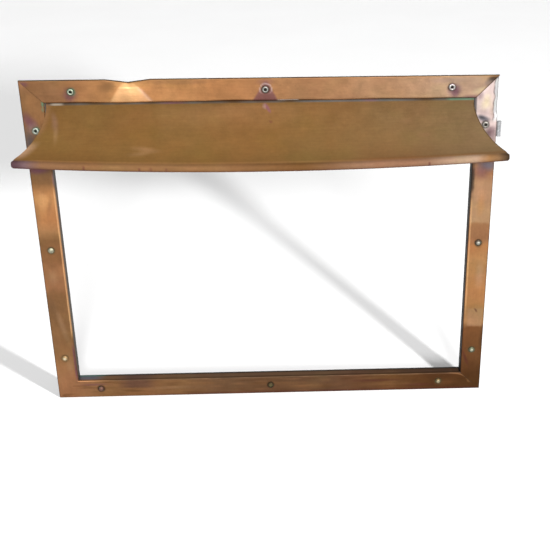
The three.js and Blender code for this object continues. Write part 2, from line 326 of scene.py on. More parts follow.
def corner_arc(x):
    """The height of the crease that runs down the bottom rail's right hand end."""
    fall = np.clip((x - 297) / 33, 0, 1)
    return BOTTOM_FACE - 1 - 17 * (1 - np.sqrt(1 - fall ** 2.4))


def bend_bottom(points):
    """The bottom rail's face, pressed back above the crease at the right hand corner."""
    across, back, along = points.T
    above = np.clip((across - corner_arc(along - HALF)) / 6, 0, 1)
    points[:, 1] += 0.8 * above * smooth(1.3, 0.9, back)
    return points


def round_corner(points):
    """The bottom left corner, worn round."""
    radius = CORNER_WEAR_R
    x, z = radius - HALF - points[:, 0], radius - points[:, 2]
    out = np.hypot(x, z)
    wear_and_shade = (x > 0) & (z > 0) & (out > radius)
    share = np.where(wear_and_shade, radius / np.maximum(out, radius), 1)
    points[:, 0] = np.where(wear_and_shade, radius - HALF - x * share, points[:, 0])
    points[:, 2] = np.where(wear_and_shade, radius - z * share, points[:, 2])
    return points


def rivet_holes(points, faces):
    """The faces left when those that a blind rivet's bore goes through are taken out."""
    centres = np.array([points[list(face)].mean(axis=0) for face in faces])
    keep = np.ones(len(faces), bool)
    for name in BLIND:
        x, z = RIVET_PLACES[name]
        near = np.hypot(centres[:, 0] - x, centres[:, 2] - z) < HOLE_REACH
        keep &= ~(near & (centres[:, 1] < 1.5))
    return [face for face, kept in zip(faces, keep) if kept]


BENDS = {"top": bend_top, "right": bend_right, "bottom": bend_bottom}


def make_strip(side):
    """The strip's piece, its points, and the same points flat as (across, back, along)."""
    start, end, inward, _ = STRIPS[side]
    rings = strip_rings(side)
    shape = rings.shape
    local = rings.reshape(-1, 3).copy()
    flat = local.copy()
    if side in BENDS:
        local = BENDS[side](local)
    first, last = np.array(CORNERS[start], float), np.array(CORNERS[end], float)
    ahead = (last - first) / np.linalg.norm(last - first)
    x_z = first + local[:, 2:] * ahead + local[:, :1] * np.array(inward)
    points = np.column_stack([x_z[:, 0], local[:, 1], x_z[:, 1]])
    points[:, 1] += UNEVEN * cloud(points, 45, 3) * smooth(2, 8, flat[:, 0])
    points, faces = loft(round_corner(points).reshape(shape), flip=side in ("top", "right"))
    return new_piece(f"{side}_copper", points, rivet_holes(points, faces)), points, flat


# ---- the hood ----
COVE_END = (HOOD_SHEET_Y - COVE_R * (1 - math.cos(COVE_TURN)),
            HOOD_TOP_Z - COVE_R * math.sin(COVE_TURN))
ROD_CENTRE = (COVE_END[0] + CURL_R * math.cos(COVE_TURN),
              COVE_END[1] - CURL_R * math.sin(COVE_TURN))
HOOD_COLUMNS = 260
END_ROUND = 3.4  # the length over which the rolled edge closes at each end
END_SHARE = 0.55  # its radius there, against the full one


def hood_path():
    """The middle of the hood's sheet as (y, z), and each point's share of the way down the cove."""
    level = math.pi / 2
    flange_z = HOOD_TOP_Z + HOOD_BEND_R
    flange = [(HOOD_FLANGE_Y, flange_z),
              *span((HOOD_FLANGE_Y, flange_z), (HOOD_SHEET_Y + HOOD_BEND_R, flange_z), 2)]
    bend = arc((HOOD_SHEET_Y + HOOD_BEND_R, HOOD_TOP_Z), HOOD_BEND_R, level, 2 * level, 8)
    cove = arc((HOOD_SHEET_Y - COVE_R, HOOD_TOP_Z), COVE_R, 0, -COVE_TURN, 52)[1:]
    start = 2 * level - COVE_TURN
    curl = arc(ROD_CENTRE, CURL_R, start, start + CURL_TURN, 34)[1:]
    path = flange + bend + cove + curl
    before = len(flange) + len(bend)
    share = np.concatenate([
        np.zeros(before), np.arange(1, len(cove) + 1) / len(cove), np.ones(len(curl)),
    ])
    return np.array(path), share


def hood_columns():
    """Places across the hood from -1 to 1, closer together at the rounded ends."""
    end = 1 - END_ROUND / HOOD_FOOT_HALF
    turns = np.linspace(0, math.pi / 2, 8)[:-1]
    near_end = 1 - END_ROUND / HOOD_FOOT_HALF * (1 - np.cos(turns))
    middle = np.linspace(-end, end, HOOD_COLUMNS + 1)
    return np.concatenate([-near_end, middle, near_end[::-1]])


def hood_place(section, share, u):
    """Points of the hood's section at u, from -1 at the left to 1 at the right."""
    inset = np.clip((1 - abs(u)) * HOOD_FOOT_HALF / END_ROUND, 0, 1)
    closed = 1 - (1 - END_SHARE) * (1 - math.sqrt(1 - (1 - inset) ** 2)) * smooth(0.93, 1, share)
    y = ROD_CENTRE[0] + (section[:, 0] - ROD_CENTRE[0]) * closed
    z = ROD_CENTRE[1] + (section[:, 1] - ROD_CENTRE[1]) * closed
    reach = HOOD_BOW * (1 - u * u) * share ** 2
    x = u * (HOOD_TOP_HALF + HOOD_FLARE * share ** FLARE_POWER)
    return np.column_stack([x, y - reach * math.sin(COVE_TURN), z - reach * math.cos(COVE_TURN)])


def make_hood():
    """The hood's piece, its points, and each point's share of the way down the cove."""
    path, share = hood_path()
    section = thicken(path)
    both = np.concatenate([share[:1], share, share[-1:], share[-1:], share[::-1], share[:1]])
    columns = hood_columns()
    rings = np.array([hood_place(section, both, u) for u in columns])
    flat = rings.reshape(-1, 3)
    loose = np.tile(both * (both < 1), len(rings))
    uneven = cloud(flat * [1, 0, 1], HOOD_UNEVEN_SIZE, 5)
    flat[:, 1] += HOOD_UNEVEN * uneven * smooth(0, 0.3, loose)
    points, faces = loft(rings, flip=True)
    return new_piece("smoke_hood", points, faces), points, np.tile(both, len(rings))


def make_rod():
    """The steel rod in the hood's rolled edge, following its bow, with rounded ends."""
    half = HOOD_FOOT_HALF - COPPER
    sides, steps, cap = 32, 120, 6
    stations = [(-half + 2 * END_ROUND * (1 - math.cos(t)), END_SHARE * 0.8 * (1 - t) + t)
                for t in np.linspace(0, 1, cap)]
    stations += [(x, 1) for x in np.linspace(-half, half, steps + 1)[2:-2]]
    stations += [(-x, r) for x, r in stations[:cap][::-1]]
    turns = np.linspace(0, 2 * math.pi, sides, endpoint=False)
    points = []
    for x, scale in stations:
        reach = HOOD_BOW * (1 - (x / HOOD_FOOT_HALF) ** 2)
        y = ROD_CENTRE[0] - reach * math.sin(COVE_TURN)
        z = ROD_CENTRE[1] - reach * math.cos(COVE_TURN)
        points += [(x, y + ROD_R * scale * math.cos(t), z + ROD_R * scale * math.sin(t))
                   for t in turns]
    faces = ring_faces(len(stations), sides)
    faces.append(tuple(range(sides))[::-1])
    faces.append(tuple(range(len(points) - sides, len(points))))
    return new_piece("hood_rod", points, faces)


# ---- rivets ----
def lathe(name, profile, centre, upright=False, closed=False, dents=0.0, seed=0.0):
    """A profile of (radius, back) turned about Y, or about Z for an upright one."""
    sides = 48
    profile = np.array(profile, float)
    on_axis = [radius < 1e-6 for radius, _ in profile]
    points, rows = [], []
    for (radius, back), single in zip(profile, on_axis):
        turns = [0] if single else np.linspace(0, 2 * math.pi, sides, endpoint=False)
        rows.append(range(len(points), len(points) + len(turns)))
        points += [(radius * math.cos(t), back, radius * math.sin(t)) for t in turns]
    faces = []
    pairs = list(zip(rows, rows[1:])) + ([(rows[-1], rows[0])] if closed else [])
    for near, far in pairs:
        for i in range(sides):
            j = (i + 1) % sides
            corner = [near[i % len(near)], near[j % len(near)], far[j % len(far)], far[i % len(far)]]
            faces.append(tuple(dict.fromkeys(corner)))
    points = np.array(points)
    if dents:
        reach = smooth(0, -0.6, points[:, 1])
        points[:, 1] += dents * cloud(points + seed * 37, 2.6, seed) * reach
        points[:, 0] += dents * cloud(points - seed * 19, 3.1, seed) * reach
    if upright:
        points = points[:, [0, 2, 1]] * [1, -1, 1]
    return new_piece(name, points + np.array(centre), faces)


def dome_profile(stack):
    """A solid rivet through a stack of the given thickness, with a domed head."""
    tail = stack + GAP
    dome = [(HEAD_R * math.sin(t), -GAP - DOME_HEIGHT * math.cos(t))
            for t in np.linspace(0, math.pi / 2 * 0.97, 12)]
    rim = [(HEAD_R, -GAP - 0.1), (HEAD_R - 0.15, -GAP)]
    shank = [(SHANK_R, -GAP), (SHANK_R, tail)]
    formed = [(TAIL_R, tail), (TAIL_R, tail + TAIL_HEIGHT * 0.5),
              (TAIL_R * 0.82, tail + TAIL_HEIGHT * 0.9), (0, tail + TAIL_HEIGHT)]
    return [*dome, *rim, *shank, *formed]


def blind_profile(stack):
    """A flanged tube, whose rim is rolled over. Its first and last points meet round the bore."""
    tail = stack + GAP
    front = -GAP - FLANGE_HEIGHT
    return [
        (TUBE_R, front + 0.7), (TUBE_R + 0.25, front + 0.25), (TUBE_R + 0.7, front),
        (HEAD_R * 0.72, front + 0.05), (HEAD_R * 0.88, front + 0.35), (HEAD_R, front + 0.95),
        (HEAD_R, -GAP - 0.15), (HEAD_R - 0.15, -GAP), (SHANK_R, -GAP), (SHANK_R, tail),
        (TAIL_R, tail), (TAIL_R, tail + TAIL_HEIGHT * 0.6), (SHANK_R, tail + TAIL_HEIGHT),
        (TUBE_R, tail + TAIL_HEIGHT),
    ]


def pin_profile(stack):
    """The broken pin left in a blind rivet's bore, with its ball behind."""
    pin = TUBE_R - GAP
    ball = stack + 2 * GAP + TAIL_HEIGHT
    return [(0, 1.5), (pin * 0.55, 1.4), (pin * 0.85, 1.7), (pin, 2.2), (pin, ball),
            (SHANK_R * 0.9, ball), (SHANK_R * 0.85, ball + 1), (SHANK_R * 0.55, ball + 1.7),
            (0, ball + 2)]


# ---- finish colours and colours of painted light and shade, linear RGB ----
ORANGE = (0.51, 0.240, 0.093)
AMBER = (0.61, 0.295, 0.115)
TAN = (0.455, 0.235, 0.100)
CLAY = (0.405, 0.208, 0.095)
SAND = (0.560, 0.370, 0.250)
RUSSET = (0.225, 0.092, 0.032)
DUSK = (0.165, 0.086, 0.043)
GREY = (0.105, 0.102, 0.095)
ROSE = (0.49, 0.290, 0.160)
BLUSH = (0.65, 0.430, 0.280)
BRONZE = (0.375, 0.185, 0.085)
BROWN = (0.290, 0.145, 0.060)
UMBER = (0.202, 0.106, 0.051)
CHESTNUT = (0.175, 0.074, 0.026)
COCOA = (0.112, 0.047, 0.015)
PLUM = (0.085, 0.045, 0.055)
MAROON = (0.110, 0.030, 0.025)
DARK = (0.055, 0.032, 0.018)
SOOT = (0.026, 0.024, 0.024)
SLATE = (0.120, 0.125, 0.160)
OLIVE = (0.130, 0.105, 0.050)
PEACH = (0.98, 0.56, 0.27)
CREAM = (0.89, 0.70, 0.66)
STRAW = (0.98, 0.80, 0.48)
PURPLE = (0.190, 0.075, 0.105)
LILAC = (0.360, 0.230, 0.240)
STEEL_BLUE = (0.200, 0.215, 0.270)
TEAL = (0.100, 0.330, 0.250)
VERDIGRIS = (0.130, 0.270, 0.170)
PALE = (0.74, 0.66, 0.54)
WHITE = (1.00, 0.99, 1.00)
HOOD_LEFT = (0.182, 0.094, 0.026)
HOOD_MIDDLE = (0.208, 0.109, 0.033)
HOOD_RIGHT = (0.189, 0.117, 0.056)
BEAD_END = (0.150, 0.092, 0.095)
BEAD_LEFT = (0.215, 0.110, 0.045)
BEAD_MIDDLE = (0.145, 0.066, 0.021)
BEAD_RIGHT = (0.235, 0.130, 0.075)
BEAD_HIGHLIGHT = (0.380, 0.250, 0.170)
# How bright laid colours come out, against what the painters say.
# painted shade: how dark the hood's top is laid, where more light falls on it
COVE_TOP_PAINTED_SHADE = 0.765  # at the hood's top
FINISH_LEVEL = 0.84  # on the strips
TOP_RAIL_LEVEL = 0.88  # on the top rail, besides


class Paint:
    """A colour and a roughness at each point, laid on in soft-edged areas."""

    def __init__(self, points, base, roughness):
        self.x, self.y, self.z = points.T
        self.ragged = 0.22 * cloud(points, 9, 7)
        self.colour = np.tile(np.array(base, float), (len(points), 1))
        self.rough = np.full(len(points), roughness, float)

    def grade(self, along, *stops):
        """Colours that run into each other along one axis: stops of (place, colour)."""
        places = [place for place, _ in stops]
        eased = along + 14 * self.ragged
        for channel in range(3):
            levels = [colour[channel] for _, colour in stops]
            self.colour[:, channel] = np.interp(eased, places, levels)

    def lay(self, colour, mask, strength=1.0, roughness=None):
        """Brings the colour, and the roughness if one is given, towards these by the mask."""
        share = np.clip(mask * strength, 0, 1)
        self.colour += (np.array(colour) - self.colour) * share[:, None]
        if roughness is not None:
            self.rough += (roughness - self.rough) * share

    def spot(self, colour, x, z, wide, high, strength=1.0, lean=0.0, core=0.3):
        """An uneven patch round (x, z), solid out to core of its half width and height."""
        aside, up = self.x - x, self.z - z
        away = np.hypot((aside - lean * up) / wide, up / high) * (1 + self.ragged)
        self.lay(colour, smooth(1, core, away), strength)

    def spots(self, *rows):
        """Patches in order, each with spot()'s colour, x, z, wide, high, strength, lean, core."""
        for row in rows:
            self.spot(*row)

    def onto(self, piece):
        """Stores the laid colours, painted light among them, and the roughness on the piece's
        points, where its material finds them.
        """
        data = piece.data
        colour = data.attributes.new("colour_and_painted_light", "FLOAT_COLOR", "POINT")
        rgba = np.column_stack([self.colour, np.ones(len(self.colour))]).astype(np.float32)
        colour.data.foreach_set("color", rgba.ravel())
        rough = data.attributes.new("finish_roughness", "FLOAT", "POINT")
        rough.data.foreach_set("value", self.rough.astype(np.float32))


# ---- materials ----
class Nodes:
    """A material's node tree, with short ways to add what the finishes use."""

    def __init__(self, name):
        self.material = bpy.data.materials.new(name)
        self.material.use_nodes = True
        self.tree = self.material.node_tree
        self.tree.nodes.clear()
        self.shader = self.tree.nodes.new("ShaderNodeBsdfPrincipled")
        output = self.tree.nodes.new("ShaderNodeOutputMaterial")
        self.tree.links.new(self.shader.outputs[0], output.inputs["Surface"])
        self.where = self.add("TexCoord").outputs["Object"]

    def add(self, kind, inputs=None, **settings):
        node = self.tree.nodes.new("ShaderNode" + kind)
        for key, value in settings.items():
            setattr(node, key, value)
        for key, value in (inputs or {}).items():
            self.feed(node.inputs[key], value)
        return node

    def feed(self, socket, value):
        """Links another node's output to a socket, or sets a plain value on it."""
        if isinstance(value, bpy.types.NodeSocket):
            self.tree.links.new(value, socket)
        elif isinstance(value, tuple) and socket.type == "RGBA":
            socket.default_value = (*value, 1)
        else:
            socket.default_value = value

    def noise(self, scale, detail=3.0, stretch=(1, 1, 1), roughness=0.5):
        """Noise from 0 to 1, centred on a half, with about scale features a metre."""
        spread = self.add("Mapping", {"Vector": self.where, "Scale": stretch}).outputs[0]
        inputs = {"Vector": spread, "Scale": scale, "Detail": detail, "Roughness": roughness}
        return self.add("TexNoise", inputs).outputs["Fac"]

    def level(self, value, low, high, to_low=0.0, to_high=1.0):
        """A value from low to high mapped onto another span, held at its ends."""
        inputs = {"Value": value, 1: low, 2: high, 3: to_low, 4: to_high}
        return self.add("MapRange", inputs).outputs[0]

    def plus(self, first, second):
        return self.add("Math", {0: first, 1: second}, operation="ADD").outputs[0]

    def times(self, first, second):
        return self.add("Math", {0: first, 1: second}, operation="MULTIPLY").outputs[0]

    def grey(self, value):
        return self.add("CombineColor", {0: value, 1: value, 2: value}).outputs[0]

    def laid(self):
        """The colour and the roughness that a Paint stored on the piece."""
        colour = self.add("Attribute", attribute_name="colour_and_painted_light").outputs["Color"]
        return colour, self.add("Attribute", attribute_name="finish_roughness").outputs["Fac"]

    def mix(self, first, second, share, blend="MIX"):
        node = self.add("Mix", data_type="RGBA", blend_type=blend)
        self.feed(node.inputs[0], share)
        self.feed(node.inputs[6], first)
        self.feed(node.inputs[7], second)
        return node.outputs[2]

    def surface(self, **sockets):
        """Feeds the shader and gives the finished material."""
        for key, value in sockets.items():
            self.feed(self.shader.inputs[key.replace("_", " ")], value)
        return self.material

    def bumps(self, *layers):
        """Layers of (height, depth in metres) as one normal."""
        normal = None
        for height, depth in layers:
            inputs = {"Height": height, "Distance": depth, "Strength": 1.0}
            if normal is not None:
                inputs["Normal"] = normal
            normal = self.add("Bump", inputs).outputs[0]
        return normal


def copper_material(name, metallic, grain, level=1.0, shine=0.5, waves=0.0006):
    """Aged copper: its laid colours, clouded by handling, with rolling lines, scratches and specks.

    grain stretches the rolling lines, small along the way the sheet was rolled. level darkens the
    laid colours. shine is the specular level, and waves the depth of the sheet's unevenness in
    metres.
    """
    n = Nodes(name)
    laid, rough = n.laid()
    redder = n.level(n.noise(11, 4), 0.42, 0.66)
    greener = n.level(n.noise(17, 4, (1, 1, 1.7)), 0.48, 0.70)
    cloudy = n.level(n.noise(34, 5), 0.30, 0.75, 0.93, 1.07)
    mottled = n.level(n.noise(210, 4, roughness=0.6), 0.3, 0.7, 0.95, 1.05)
    lines = n.level(n.noise(420, 3, grain), 0.3, 0.7, 0.96, 1.04)
    colour = n.mix(laid, (level, level, level), 1.0, "MULTIPLY")
    colour = n.mix(colour, (1.10, 0.86, 0.80), n.times(redder, 0.40), "MULTIPLY")
    colour = n.mix(colour, (0.88, 1.04, 0.84), n.times(greener, 0.35), "MULTIPLY")
    shade = n.grey(n.times(n.times(cloudy, mottled), lines))
    colour = n.mix(colour, shade, 1.0, "MULTIPLY")
    specks = n.level(n.noise(1300, 1), 0.71, 0.76)
    colour = n.mix(colour, DARK, n.times(specks, 0.35))
    scratch = n.level(n.noise(900, 2, (grain[0] * 0.6, 1, grain[2] * 0.6)), 0.62, 0.70)
    smear = n.level(n.noise(60, 4), 0.35, 0.7, -0.05, 0.07)
    roughness = n.plus(n.plus(rough, smear), n.times(scratch, -0.06))
    normal = n.bumps((n.noise(26, 3), waves), (n.noise(300, 3), 0.00003), (scratch, -0.00001))
    return n.surface(Base_Color=colour, Metallic=metallic, Roughness=roughness, Normal=normal,
                     Specular_IOR_Level=shine)


def steel_material():
    """Black mild steel with mill scale, light rust and rubbed spots."""
    n = Nodes("black_steel")
    scale = n.level(n.noise(40, 6, roughness=0.6), 0.35, 0.65)
    colour = n.mix((0.045, 0.047, 0.052), (0.105, 0.105, 0.110), scale)
    rust = n.level(n.noise(70, 7, roughness=0.65), 0.56, 0.66)
    colour = n.mix(colour, (0.130, 0.052, 0.024), n.times(rust, 0.75))
    rubbed = n.level(n.noise(260, 4), 0.66, 0.74)
    colour = n.mix(colour, (0.30, 0.30, 0.31), n.times(rubbed, 0.5))
    rough = n.plus(n.level(scale, 0, 1, 0.62, 0.48), n.times(rust, 0.25))
    normal = n.bumps((n.noise(240, 6), 0.00012), (rust, 0.00006))
    return n.surface(Base_Color=colour, Metallic=0.75, Roughness=rough, Normal=normal)


def lug_material():
    """Galvanised steel, grey and dulled."""
    n = Nodes("grey_zinc")
    spangle = n.add("TexVoronoi", {"Vector": n.where, "Scale": 260}).outputs["Distance"]
    colour = n.mix((0.40, 0.41, 0.42), (0.62, 0.63, 0.64), n.level(spangle, 0, 0.7))
    dirt = n.level(n.noise(120, 5), 0.5, 0.68)
    colour = n.mix(colour, (0.12, 0.11, 0.09), n.times(dirt, 0.5))
    normal = n.bumps((n.noise(400, 4), 0.00005))
    return n.surface(Base_Color=colour, Metallic=0.8, Roughness=0.48, Normal=normal)


def rivet_material():
    """Pale tinned steel, with painted shade and dirt darkening its rim, and dark hammer marks."""
    n = Nodes("rivet_metal")
    laid, rough = n.laid()
    wear_and_shade = n.level(n.noise(420, 5, roughness=0.6), 0.35, 0.68, 0.80, 1.12)
    colour = n.mix(laid, n.grey(wear_and_shade), 1.0, "MULTIPLY")
    green = n.level(n.noise(300, 4), 0.58, 0.70)
    colour = n.mix(colour, VERDIGRIS, n.times(green, 0.4))
    normal = n.bumps((n.noise(600, 3), 0.00006))
    return n.surface(Base_Color=colour, Metallic=0.9, Roughness=rough, Normal=normal)


def pin_material():
    """The stub of a drawn pin, coloured near black as painted shade deep in a blind rivet's bore."""
    n = Nodes("pin_steel")
    colour = n.mix((0.010, 0.014, 0.009), (0.05, 0.05, 0.04), n.level(n.noise(700, 4), 0.35, 0.7))
    normal = n.bumps((n.noise(900, 3), 0.00008))
    return n.surface(Base_Color=colour, Metallic=0.8, Roughness=0.6, Normal=normal)


# ---- finishing the pieces ----
# The painters' numbers are places and sizes in millimetres, and strengths from 0 to 1. across
# runs from a strip's outer edge to the opening, and back from its face to the wall.
# Besides patina, stains and heat colours, the painters lay painted highlights and painted shade.
def paint_top(paint, across, back):
    x = paint.x
    # patina tones along the rail; the lighter, pinker right end is partly a painted highlight
    paint.grade(x, (-345, BROWN), (-300, BRONZE), (-237, ORANGE), (-148, AMBER), (-70, ORANGE),
                (57, CLAY), (204, ROSE), (315, SAND), (345, ROSE))
    # light and shade round the knock
    paint.spot(BROWN, -222, 524, 22, 13, 0.75, lean=0.4, core=0.1)
    paint.spot(BRONZE, -120, 531, 62, 6, 0.6)
    paint.lay(AMBER, between(x, -226 - across * 0.2, -125, 12) * smooth(8, 26, across), 0.7)
    lit = between(x, -198 - across * 0.68, -187 + across * 0.84, 2) * smooth(1, 5, across)
    paint.lay(PEACH, lit, 0.8, 0.42)
    paint.lay(TAN, hill(x, -192, 30) * smooth(16, 7, across), 0.6, 0.62)
    paint.lay(CREAM, hill(x, -188 + across * 0.84, 6) * smooth(8, 16, across), 0.20)
    # heat colours and stains
    paint.spots(
        (PURPLE, -344, 530, 12, 8, 0.7, 0, 0.1),
        (PURPLE, -278, 513, 14, 15, 0.75, 0, 0.2),
        (PURPLE, 6, 530, 18, 8, 0.4, 0, 0.1),
        (LILAC, 284, 514, 14, 16, 0.8, 0, 0.1),
        (PURPLE, 285, 511, 11, 13, 0.7, 0, 0.2),
        (LILAC, 276, 528, 40, 7, 0.35, 0, 0),
        (DARK, 346, 531, 18, 8, 0.9, 1.0, 0.35),
        (SLATE, 336, 523, 14, 10, 0.5, 0, 0.1),
        (STRAW, 322, 512, 16, 8, 0.4, 0.9, 0.1),
        (PURPLE, 311, 502, 18, 6, 0.65, 0, 0.1),
    )
    wedge = between(x, 7 - (across - 2) * 0.62, 8 + (across - 2) * 0.50, 2) * smooth(2, 10, across)
    paint.lay(PURPLE, wedge, 0.7)
    paint.lay(MAROON, wedge * smooth(20, 34, across), 0.3)
    away = np.hypot(x - 6, paint.z - 518) * (1 + paint.ragged)
    paint.lay(CREAM, hill(away, 8.0, 1.5) * smooth(510, 517, paint.z), 0.4)
    # painted highlight along the lower inner fold, white in one short stretch and slate at the right
    # end
    fold = between(across, 32.2, 35, 0.7)
    paint.lay(PEACH, fold * between(x, -240, -60, 20), 0.75)
    paint.lay(WHITE, fold * between(x, 24, 54, 3), 0.9)
    paint.lay(PEACH, fold * smooth(60, 110, x), 0.45)
    paint.lay(SLATE, fold * smooth(240, 300, x), 0.7)
    paint.lay(DARK, smooth(2.6, 0.8, HALF - across - x), 0.85)
    # painted shade over the upper outer fold
    paint.lay(BROWN, smooth(3.4, 1.6, across), 0.6, 0.6)
    paint.colour *= TOP_RAIL_LEVEL


def paint_right(paint, across, back):
    z = paint.z
    # patina tones up the stile, dark at its foot; the rose from about 300 up is partly a painted
    # highlight
    paint.grade(z, (5, COCOA), (30, COCOA), (60, CHESTNUT), (96, RUSSET), (117, RUSSET),
                (124, TAN), (150, TAN), (158, ORANGE), (190, ORANGE), (236, TAN),
                (262, ORANGE), (270, BRONZE), (298, BRONZE), (303, ROSE), (338, ROSE),
                (365, ROSE), (384, BRONZE))
    # the first two patches, just under the hood, are painted shadow of the hood
    paint.spots(
        (SLATE, 341, 396, 24, 15, 0.85, 0, 0.1),
        (PURPLE, 331, 384, 20, 18, 0.55, 0, 0),
        (AMBER, 333, 330, 9, 30, 0.5, 0, 0),
        (BLUSH, 338, 212, 10, 34, 0.35, 0, 0),
    )
    paint.lay(ROSE, between(z, 119, 151, 1.2) * between(across, 3, 27, 2), 0.5)
    paint.spots(
        (MAROON, 336, 148, 2.6, 5, 0.7, -0.5),
        (MAROON, 323, 60, 4.5, 24, 0.6, -0.35, 0.1),
        (DARK, 348, 96, 5, 34, 0.5, 0, 0.1),
        (OLIVE, 334, 266, 9, 13, 0.45, 0, 0.2),
    )
    # a painted highlight beside the inner fold, and painted shade on the fold and return
    paint.lay(PEACH, between(across, 30.2, 32.2, 0.6) * between(z, 150, 350, 20), 0.55)
    paint.lay(SOOT, smooth(32.4, 33.4, across) * smooth(420, 400, z), 0.9)
    paint.lay(DARK, smooth(1.6, 0.3, HEIGHT - across - z), 0.8)
    # painted shadow of the hood along the inner edge
    paint.spot(SOOT, 318, 372, 5, 46, 0.85, core=0.2)
    # the part above the hood, a painted highlight over the whole face, warmed with straw and blush,
    # with heat colours and dark marks on it
    pale = smooth(425, 442, z)
    paint.lay(CREAM, pale, 0.97, 0.35)
    paint.spots(
        (STRAW, 332, 495, 10, 20, 0.65, 0.2, 0),
        (BLUSH, 342, 484, 9, 20, 0.35, 0, 0),
        (LILAC, 328, 480, 14, 10, 0.4, -0.6, 0),
        (LILAC, 341, 446, 16, 16, 0.8, 0, 0.2),
        (PURPLE, 340, 450, 9, 12, 0.45, 0, 0.1),
        (SLATE, 329, 470, 13, 8, 0.85, -0.9, 0.3),
        (SOOT, 327, 471, 7, 4, 0.6, -0.9, 0.2),
    )
    paint.lay(SLATE, smooth(30.5, 33, across) * smooth(455, 470, z), 0.65)
    paint.spot(LILAC, 322, 505, 7, 12, 0.7, core=0.1)
    # the opened outer edge near the top: a painted highlight on the bent-back part, painted shade
    # along its crease and outer rim
    opened = smooth(462, 472, z)
    crease = open_fold(z)
    paint.lay(WHITE, smooth(crease, crease - 1.5, across) * opened, 1.0, 0.4)
    wear_and_shade = 0.75 + 0.25 * np.sin(z / 3.1) + 0.2 * np.sin(z / 1.3)
    paint.lay(PLUM, hill(across, crease, 1.4) * opened * wear_and_shade, 0.9)
    paint.lay(PLUM, smooth(1.2, 0.4, across) * opened, 0.5)
    paint.spot(SOOT, 347, 532, 5, 4, 0.7, core=0.1)


def paint_left(paint, across, back):
    z = paint.z
    # patina tones up the stile; the lighter band from about 300 to 365 is partly a painted
    # highlight, the umber round 398 partly painted shadow under the hood
    paint.grade(z, (5, BRONZE), (60, BRONZE), (110, BROWN), (150, BROWN), (190, BROWN),
                (204, BRONZE), (234, BRONZE), (250, BROWN), (284, BROWN), (300, TAN),
                (318, ORANGE), (351, AMBER), (364, ORANGE), (378, BROWN), (398, UMBER),
                (470, BROWN), (512, BROWN), (530, BRONZE))
    # the first patch, just under the hood, is painted shadow of the hood; the amber and peach
    # patches round 345 are partly a painted highlight
    paint.spots(
        (PURPLE, -338, 399, 24, 9, 0.85, 0, 0.1),
        (BRONZE, -347, 330, 7, 30, 0.5, 0, 0.1),
        (AMBER, -338, 345, 10, 26, 0.8, -0.25, 0.1),
        (PEACH, -336, 350, 12, 22, 0.22, 0, 0.2),
        (BRONZE, -327, 340, 5, 26, 0.5, 0.2, 0.1),
        (ROSE, -336, 222, 12, 20, 0.45, 0, 0),
        (UMBER, -343, 172, 12, 34, 0.5, -0.1, 0.1),
        (ROSE, -331, 135, 7, 44, 0.35, -0.2, 0.1),
        (ROSE, -326, 62, 9, 30, 0.35, 0, 0.1),
    )
    # heat colours round the upper rivet
    paint.spots(
        (PURPLE, -341, 474, 15, 20, 0.75, -0.25, 0.05),
        (LILAC, -336, 462, 14, 14, 0.45, 0, 0.1),
        (SLATE, -344, 443, 13, 24, 0.6, -0.1, 0.1),
        (ORANGE, -336, 503, 13, 16, 0.25, 0, 0),
        (VERDIGRIS, -318.5, 500, 3, 6, 0.8, 0, 0.3),
        (VERDIGRIS, -319, 492, 3, 5, 0.5, 0, 0.2),
    )
    # painted highlight along the inner fold
    lit = between(across, 31.8, 33.8, 0.5) * between(z, 118, 366, 12)
    paint.lay(PEACH, lit, 0.8, 0.36)
    paint.lay(PURPLE, between(across, 30.5, 33.5, 0.6) * between(z, 36, 96, 10), 0.8)
    paint.lay(LILAC, (across > 32) * between(z, 374, 392, 5), 0.5)


def paint_bottom(paint, across, back):
    x = paint.x
    paint.grade(x, (-345, BRONZE), (-310, BRONZE), (-270, BROWN), (-150, BROWN), (-93, UMBER),
                (40, DUSK), (120, DUSK), (205, CHESTNUT), (270, COCOA), (345, COCOA))
    streaks = cloud(np.column_stack([x / 9, paint.y, paint.z]), 4, 3)
    paint.lay(COCOA, smooth(0.1, 0.7, streaks), 0.45)
    paint.lay(BRONZE, smooth(-0.1, -0.8, streaks) * smooth(320, 200, x), 0.35)
    paint.lay(MAROON, smooth(7, 1, across) * smooth(-230, -120, x), 0.55)
    stain = between(x + 8 * paint.ragged, -244, -196, 14) * smooth(13, 19, across) * (back < 15)
    paint.lay(PLUM, stain, 0.48)
    paint.spots(
        (ROSE, -160, 15, 60, 5, 0.3, 1.5, 0),
        (PURPLE, -290, 24, 34, 3, 0.5, 0, 0.1),
        (BROWN, -120, 22, 60, 4, 0.5, 0, 0.1),
        (BROWN, 10, 19, 80, 4, 0.5, 0, 0),
        (BROWN, 60, 12, 70, 9, 0.5, 0, 0),
        (BROWN, 190, 13, 70, 5, 0.45, 3, 0),
        (MAROON, 175, 20, 60, 4, 0.6, 0, 0),
        (MAROON, 250, 10, 40, 4, 0.5, 0, 0),
        (CHESTNUT, 292, 14, 30, 8, 0.5, 0, 0),
    )
    # the crease at the right-hand end: painted shade over the face pressed back above it, and a
    # painted highlight along the crease
    crease = corner_arc(x)
    corner = smooth(296, 304, x)
    paint.lay(COCOA, smooth(crease, crease + 2, across) * corner, 0.7)
    paint.lay(TAN, hill(across, crease - 0.4, 1.8) * corner * smooth(336, 328, x), 0.6)
    # painted shade over the inner fold, except at the left end
    fold = between(across, BOTTOM_FACE - 2.4, BOTTOM_FACE, 0.6) * (back < 3)
    paint.lay(DARK, fold * smooth(-300, -250, x), 0.75, 0.62)
    mitre = HALF - across * FACE / BOTTOM_FACE - x
    paint.lay(SOOT, smooth(2.0, 0.4, mitre) * smooth(8, 14, across) * (x > 0), 0.8)


PAINTERS = {"top": paint_top, "right": paint_right, "left": paint_left, "bottom": paint_bottom}
